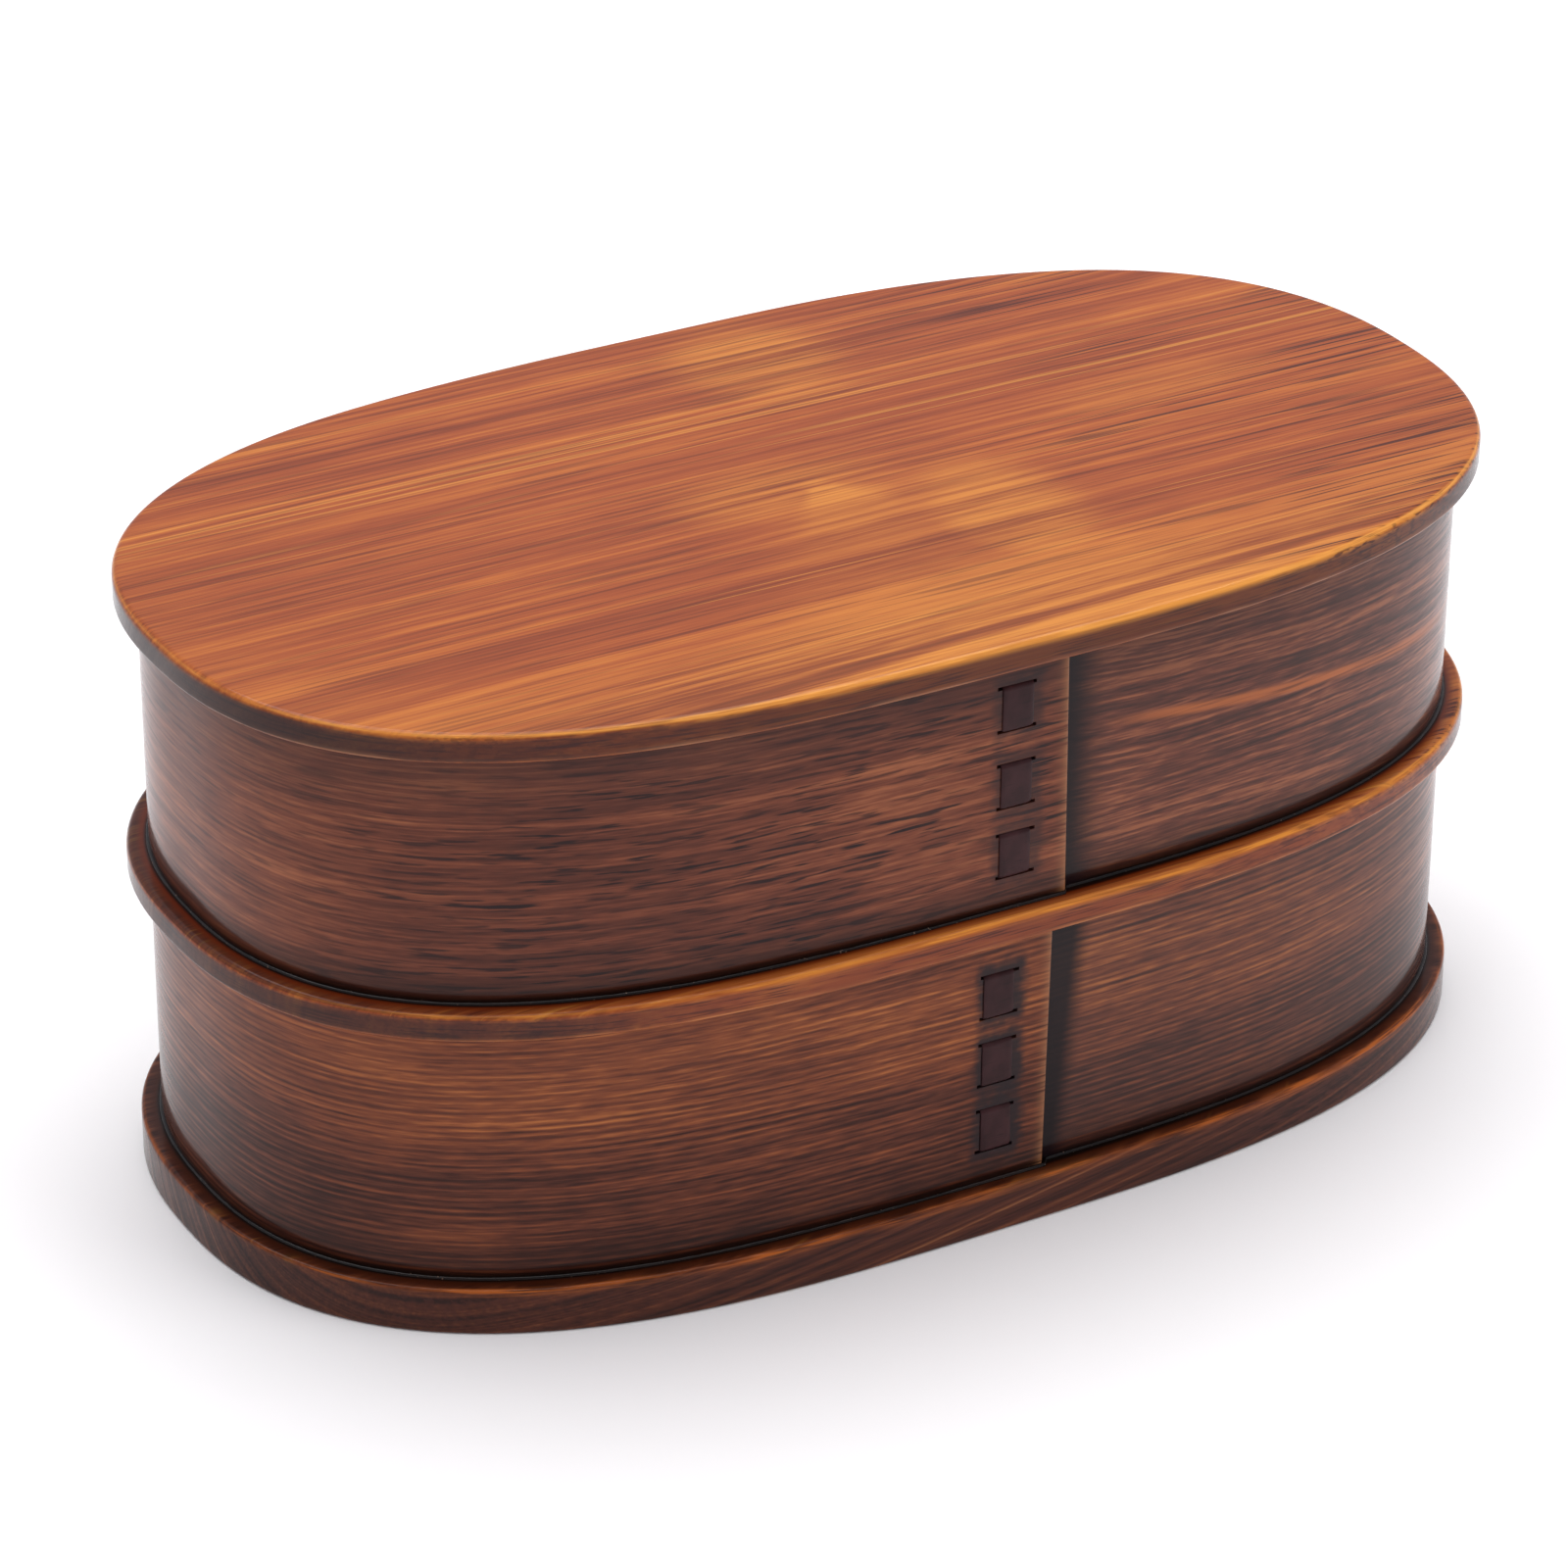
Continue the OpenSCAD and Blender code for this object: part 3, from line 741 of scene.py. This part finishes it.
upperStripLook = {
    "name": "stained cedar strip, upper hoop", "seed": 7,
    # grain that sways, and more and leaning past the lap, in mm
    "sway": 1.5, "swayMost": 7.0, "swayReach": 60, "bowSize": (60, 20, 1), "lean": 0.1, "leanReach": 110,
    # figure in mm along and up the strip, and how far each kind sways the tone
    "line": (70, 0.55, 1), "streak": (18, 0.55, 1), "band": (120, 2.6, 1), "cloud": (30, 10, 1),
    "fibre": (4, 0.36, 1), "rib": 1.2, "ribSway": 0.8,
    "lineShare": 0.5, "streakShare": 0.6, "bandShare": 0.4, "cloudShare": 0.4, "fibreShare": 0.45,
    "ribShare": 0.0,
    # that sway away from the lap and to its right, and the lengths where it fades
    "calm": 0.85, "rightLively": 2.2, "rightFade": (120, 220), "leftFade": (75, 15),
    # tone up the wall, and its colours
    "riseFrom": 4, "riseTo": 16, "riseMost": 0.64, "riseLeast": 0.57,
    "ramp": ((0.1, "#221110"), (0.32, "#3e1e16"), (0.52, "#572b1e"), (0.72, "#723c28"), (0.95, "#965838")),
    # dark flecks, most of them to the left of the lap, and one pale streak past it
    "fleck": (8.5, 0.62, 1), "fleckFrom": 0.53, "fleckTo": 0.64, "fleckShare": 1.0,
    "fleckReach": 125, "fleckFull": 75, "fleckLeast": 0.5, "fleckColour": "#1c0e10",
    "fleckCloud": (0.3, 0.6), "fleckThin": 0.5,
    "sash": 0.9, "sashHeight": 24.5, "sashCore": 0.3, "sashReach": 1.1, "sashSpan": (5, 20, 55, 105),
    "sashEase": (0.34, 0.52), "sashLeast": 0.4, "sashColour": "#a45c34",
    # darker under the lid, and painted shade above the board and in the corner, by height in mm
    "topFrom": 24, "topTo": 37, "topShare": 0.55, "topColour": "#2a1817",
    "footFrom": 0.8, "footReach": 6, "footShare": 0.72, "footShadeColour": "#210c07",
    "crackFrom": 0.3, "crackTo": 1.6, "crackShare": 0.9, "crackShadeColour": "#0c0503",
    # greyer past the lap as painted sheen, rubbed at its end with a painted highlight, stained round
    # the stitches, and inky beside the end with painted shade of the step
    "sheenGreyFrom": 60, "sheenGreyTo": 200, "sheenGreyShare": 0.25, "sheenGreyColour": "#63453f",
    "wearAndHighlight": 0.8, "wearEase": (0.3, 0.5), "wearLeast": 0.2, "wornAndHighlightColour": "#946343",
    "halo": (2.4, 1.5, 1), "haloShare": 1.0, "haloEase": (0.2, 1.0),
    "stain": 0.65, "stainColour": "#21171a",
    "inkAndShade": 0.96, "inkFrom": -1.2, "inkTo": 5.6, "inkRagged": 4.0, "inkTaper": 0.0,
    "inkAndShadeColour": "#140b0f",
}
lowerStripLook = {
    **upperStripLook, "name": "stained cedar strip, lower hoop", "seed": 31, "swayMost": 2.0, "lean": 0.0,
    "line": (70, 0.5, 1), "streak": (22, 0.5, 1), "band": (120, 2.4, 1), "rib": 1.05,
    "lineShare": 0.52, "streakShare": 0.55, "bandShare": 0.34, "fibreShare": 0.6, "ribShare": 0.22,
    "rightLively": 1.2, "sheenGreyColour": "#54423f",
    "riseFrom": 8, "riseTo": 28, "riseMost": 0.57, "riseLeast": 0.38,
    "ramp": ((0.1, "#22100c"), (0.32, "#3f1e15"), (0.52, "#5f301f"), (0.72, "#7d4226"), (0.95, "#a66233")),
    "fleckShare": 0.25, "sash": 0.0, "footShare": 0.5, "footReach": 9, "topShare": 0.0, "stain": 0.95,
    "inkRagged": 1.2, "inkFrom": 0.8, "inkTo": 4.4, "inkTaper": 0.07,
}
# the rims' crack colour is painted shade at their foot
rimLook = {
    **lowerStripLook, "name": "stained cedar strip, rims", "seed": 43, "footShare": 0.0,
    "inkAndShade": 0.0, "wearAndHighlight": 0.0, "crackShadeColour": "#4e2d22",
}
tiers = {
    "upper": {
        "body": "upper_tier", "look": upperStripLook,
        "endX": 9.0 * mm, "slant": -0.5 * mm,  # the outer end, from the front's middle, and its lean
        "gap": 4.1 * mm,
        "stitchShift": np.array((0.0, -0.4, 0.25)) * mm,  # upwards, as a hand spaced them
        # stain that took more or less: mm from the front's middle, height, reach along and up, swing
        "spots": ((-112, 22, 20, 20, 0.1), (-66, 18, 28, 18, -0.08), (-18, 16, 20, 13, 0.1),
                  (26, 6, 24, 6, 0.16), (42, 34, 40, 6, -0.08), (52, 19, 34, 6, -0.12)),
    },
    "lower": {
        "body": "lower_tier", "look": lowerStripLook,
        "endX": 7.1 * mm, "slant": 0.6 * mm,
        "gap": 3.6 * mm,
        "stitchShift": np.array((0.15, 0.2, 0.35)) * mm,
        "spots": ((-80, 6, 10, 3.5, 0.26), (-76, 27, 34, 7, 0.12), (-102, 15, 14, 8, -0.08),
                  (-18, 30, 22, 7, 0.1), (45, 20, 40, 14, 0.09), (75, 22, 20, 30, -0.08)),
    },
}


def lacingGrid(endX, feet):
    # a flat band carried along a path that runs over each stitch, in through its slits and up behind
    # the wall to the next, with its square corners turned into quarter circles
    shape = barkShape
    lap = hoopShape["lap"]
    thick = shape["thick"]
    front = hoopShape["rise"] * (1 - (shape["back"] - shape["width"] / 2) / lap)
    front = front + shape["lift"] + thick / 2
    back = -hoopShape["thick"] - hoopShape["feather"] * (shape["back"] + shape["width"] / 2) / lap
    back = back - shape["lift"] - thick / 2
    corners = []
    for foot in feet:
        first = foot + thick / 2
        last = foot + shape["stitch"] - thick / 2
        corners += [(back, first), (front, first), (front, last), (back, last)]
    corners = np.array(corners)
    ends = corners[[0, -1]] + np.array(((thick, 0), (thick, 0)))
    inner = corners[1:-1]
    before = np.vstack((ends[:1], inner[:-1]))
    after = np.vstack((inner[1:], ends[1:]))
    toBefore = (before - inner) / np.linalg.norm(before - inner, axis=1, keepdims=True)
    toAfter = (after - inner) / np.linalg.norm(after - inner, axis=1, keepdims=True)
    turn = np.linspace(0, math.pi / 2, shape["bendSteps"])[None, :, None]
    bend = shape["bend"]
    centre = (inner + bend * (toBefore + toAfter))[:, None]
    arcs = centre - bend * (np.cos(turn) * toAfter[:, None] + np.sin(turn) * toBefore[:, None])
    path = np.vstack((ends[:1], arcs.reshape(-1, 2), ends[1:]))
    along = np.concatenate(([0], np.cumsum(np.linalg.norm(np.diff(path, axis=0), axis=1))))
    tangent = np.gradient(path, along, axis=0)
    tangent = tangent / np.linalg.norm(tangent, axis=1, keepdims=True)
    normal = np.stack((tangent[:, 1], -tangent[:, 0]), -1)
    # the section is a superellipse of the band's width and thickness, thinner at its edges
    angle = np.linspace(0, 2 * math.pi, shape["bandSteps"], endpoint=False)
    c = np.cos(angle)
    s = np.sin(angle)
    wide = np.sign(c) * np.abs(c) ** shape["widePower"] * shape["width"] / 2
    deep = np.sign(s) * np.abs(s) ** shape["deepPower"] * thick / 2 * (1 - shape["thinEdge"] * c ** 2)
    out = path[:, :1] + normal[:, :1] * deep
    z = path[:, 1:] + normal[:, 1:] * deep
    x, y = onOval(endX - shape["back"] + wide, out)
    uv = np.stack(np.broadcast_arrays(along[:, None], wide), -1)
    return np.stack((x, y, z), -1), uv


seamShape = {
    "steps": 1100, "roundSteps": 8, "size": 0.42 * mm, "tuck": 0.1 * mm, "lapStep": 0.9 * mm,
    "fullness": 0.8,  # below 1 is fuller than a quarter circle
    "waver": ((0.16, (5, 13, 29), 3), (0.07, (61, 97, 149), 5)),  # share of the size, waves round, seed
    "tallest": 1.05,  # times the size
}


def seamGrid(endX, floorZ):
    # a quarter-round bead carried round the foot of the hoop, whose width and height waver as
    # a fingertip leaves them
    shape = seamShape
    lap = hoopShape["lap"]
    along = np.linspace(0, girth, shape["steps"], endpoint=False)[:, None]
    foot = np.interp(along, (0, shape["lapStep"], lap, girth - lap, girth),
                     (hoopShape["rise"], -hoopShape["sink"], 0, 0, hoopShape["rise"]))
    swell = 1 + sum(share * unevenness(along, counts, seed) for share, counts, seed in shape["waver"])
    turn = np.linspace(0, math.pi / 2, shape["roundSteps"])
    curve = shape["size"] * np.stack((np.sin(turn), np.cos(turn))) ** shape["fullness"]
    wide = np.concatenate(([-shape["tuck"]], curve[0], [-shape["tuck"]]))
    tall = np.concatenate(([shape["size"]], curve[1], [0]))
    out = foot + np.where(wide > 0, wide * np.minimum(swell, 1), wide)
    z = floorZ + tall * np.minimum(swell, shape["tallest"])
    x, y = onOval(endX + along, out)
    return np.stack((x, y, z), -1)


bark = cherryBark(barkLook)
putty = lacquerPutty(puttyLook)
for tier, parts in tiers.items():
    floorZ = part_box(tier + "_board")[1].z
    low, high = (corner.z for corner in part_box(tier + "_hoop"))
    laceLow, laceHigh = (corner.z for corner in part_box(tier + "_lacing"))
    pitch = barkShape["stitch"] + parts["gap"]
    count = round((laceHigh - laceLow + parts["gap"]) / pitch)
    spare = laceHigh - laceLow + parts["gap"] - count * pitch
    feet = laceLow + spare / 2 + pitch * np.arange(count) + np.resize(parts["stitchShift"], count)
    points, uv, marks = bentStrip(
        hoopShape, parts["endX"], floorZ, low, high, parts["slant"], feet, parts["spots"])
    wood = stripWood(parts["look"])
    makePiece(
        tier + "Hoop", points, False, parts["body"], tier + "_hoop", wood, uv, marks)
    points, uv = lacingGrid(parts["endX"], feet)
    makePiece(tier + "Lacing", points, False, parts["body"], tier + "_lacing", bark, uv)
    points = seamGrid(parts["endX"], floorZ)
    makePiece(tier + "Seam", points, True, parts["body"], tier + "_seam", putty)

rims = {
    "lidRim": {"node": "lid_rim", "body": "lid", "endX": girth / 2 + 20 * mm},
    "upperRim": {"node": "upper_rim", "body": "upper_tier", "endX": girth / 2 - 30 * mm},
}
rimWood = stripWood(rimLook)
for name, rim in rims.items():
    low, high = (corner.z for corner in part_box(rim["node"]))
    points, uv, marks = bentStrip(
        rimShape, rim["endX"], low, low, high, slant=0.0, stitchFeet=(), spots=())
    makePiece(name, points, False, rim["body"], rim["node"], rimWood, uv, marks)
print("all pieces stand for their nodes")

# Studio: pale floor, a broad soft light overhead, fills from the front right and left, white around
studio = {
    "floorSize": 24.0,
    "floorColour": "#fdfcfc",
    "floorRough": 0.9,
    "surroundings": "#f6f6ff",
    "behind": 0.52,  # their strength behind the box, and before it
    "before": 0.345,
    "behindY": 0.3,  # a direction's y, past which each holds
    "beforeY": -0.8,
    "lights": {  # fills aren't mirrored, so they leave no glare on the lid
        "overhead": {
            "place": (0.1, 0.35, 1.5), "aim": (0, 0, 0.06), "size": 1.8, "watts": 25, "mirrored": True},
        "right": {
            "place": (2.0, -2.2, 1.2), "aim": (0, 0, 0.05), "size": 2.4, "watts": 40, "mirrored": False},
        "left": {
            "place": (-2.8, -1.0, 1.0), "aim": (0, 0, 0.05), "size": 1.8, "watts": 16, "mirrored": False},
    },
}
half = studio["floorSize"] / 2
floorMesh = bpy.data.meshes.new("floor")
floorCorners = [(-half, -half, 0), (half, -half, 0), (half, half, 0), (-half, half, 0)]
floorMesh.from_pydata(floorCorners, [], [(0, 1, 2, 3)])
floor = bpy.data.objects.new("floor", floorMesh)
bpy.context.scene.collection.objects.link(floor)
material, tree, shader = startMaterial("matt white paper")
shader.inputs["Base Color"].default_value = linear(studio["floorColour"])
shader.inputs["Roughness"].default_value = studio["floorRough"]
floorMesh.materials.append(material)

for name, lamp in studio["lights"].items():
    light = bpy.data.lights.new(name, "AREA")
    light.shape = "DISK"
    light.size = lamp["size"]
    light.energy = lamp["watts"]
    holder = bpy.data.objects.new(name, light)
    holder.location = lamp["place"]
    holder.visible_glossy = lamp["mirrored"]
    beam = Vector(lamp["aim"]) - Vector(lamp["place"])
    holder.rotation_euler = beam.to_track_quat("-Z", "Y").to_euler()
    bpy.context.scene.collection.objects.link(holder)
world = bpy.data.worlds.new("white room, open in front")
world.use_nodes = True
tree = world.node_tree
toward = addNode(tree, "TexCoord", (), "Generated")
depth = addNode(tree, "SeparateXYZ", (toward,), "Y")
strength = shareOf(tree, [
    (depth, studio["beforeY"], studio["behindY"], studio["before"], studio["behind"])])
tree.links.new(strength, tree.nodes["Background"].inputs["Strength"])
tree.nodes["Background"].inputs["Color"].default_value = linear(studio["surroundings"])
bpy.context.scene.world = world
bpy.context.scene.view_settings.view_transform = "Standard"
print("studio lit")

# Camera, as the photograph was taken
view = {
    "target": (-3.64 * mm, 1.24 * mm, 44.33 * mm),
    "distance": 849.15 * mm,
    "azimuth": -29.9,
    "elevation": 28.13,
    "roll": 0.376,
    "lens": 136.85,
    "sensor": 36.0,
}
azimuth = math.radians(view["azimuth"])
elevation = math.radians(view["elevation"])
level = math.cos(elevation)
back = Vector((math.sin(azimuth) * level, -math.cos(azimuth) * level, math.sin(elevation)))
cameraData = bpy.data.cameras.new("camera")
cameraData.lens = view["lens"]
cameraData.sensor_width = view["sensor"]
camera = bpy.data.objects.new("camera", cameraData)
turned = (-back).to_track_quat("-Z", "Y").to_matrix()
turned = turned @ Matrix.Rotation(math.radians(view["roll"]), 3, "Z")
place = Vector(view["target"]) + back * view["distance"]
camera.matrix_world = Matrix.Translation(place) @ turned.to_4x4()
bpy.context.scene.collection.objects.link(camera)
bpy.context.scene.camera = camera
print("camera set")
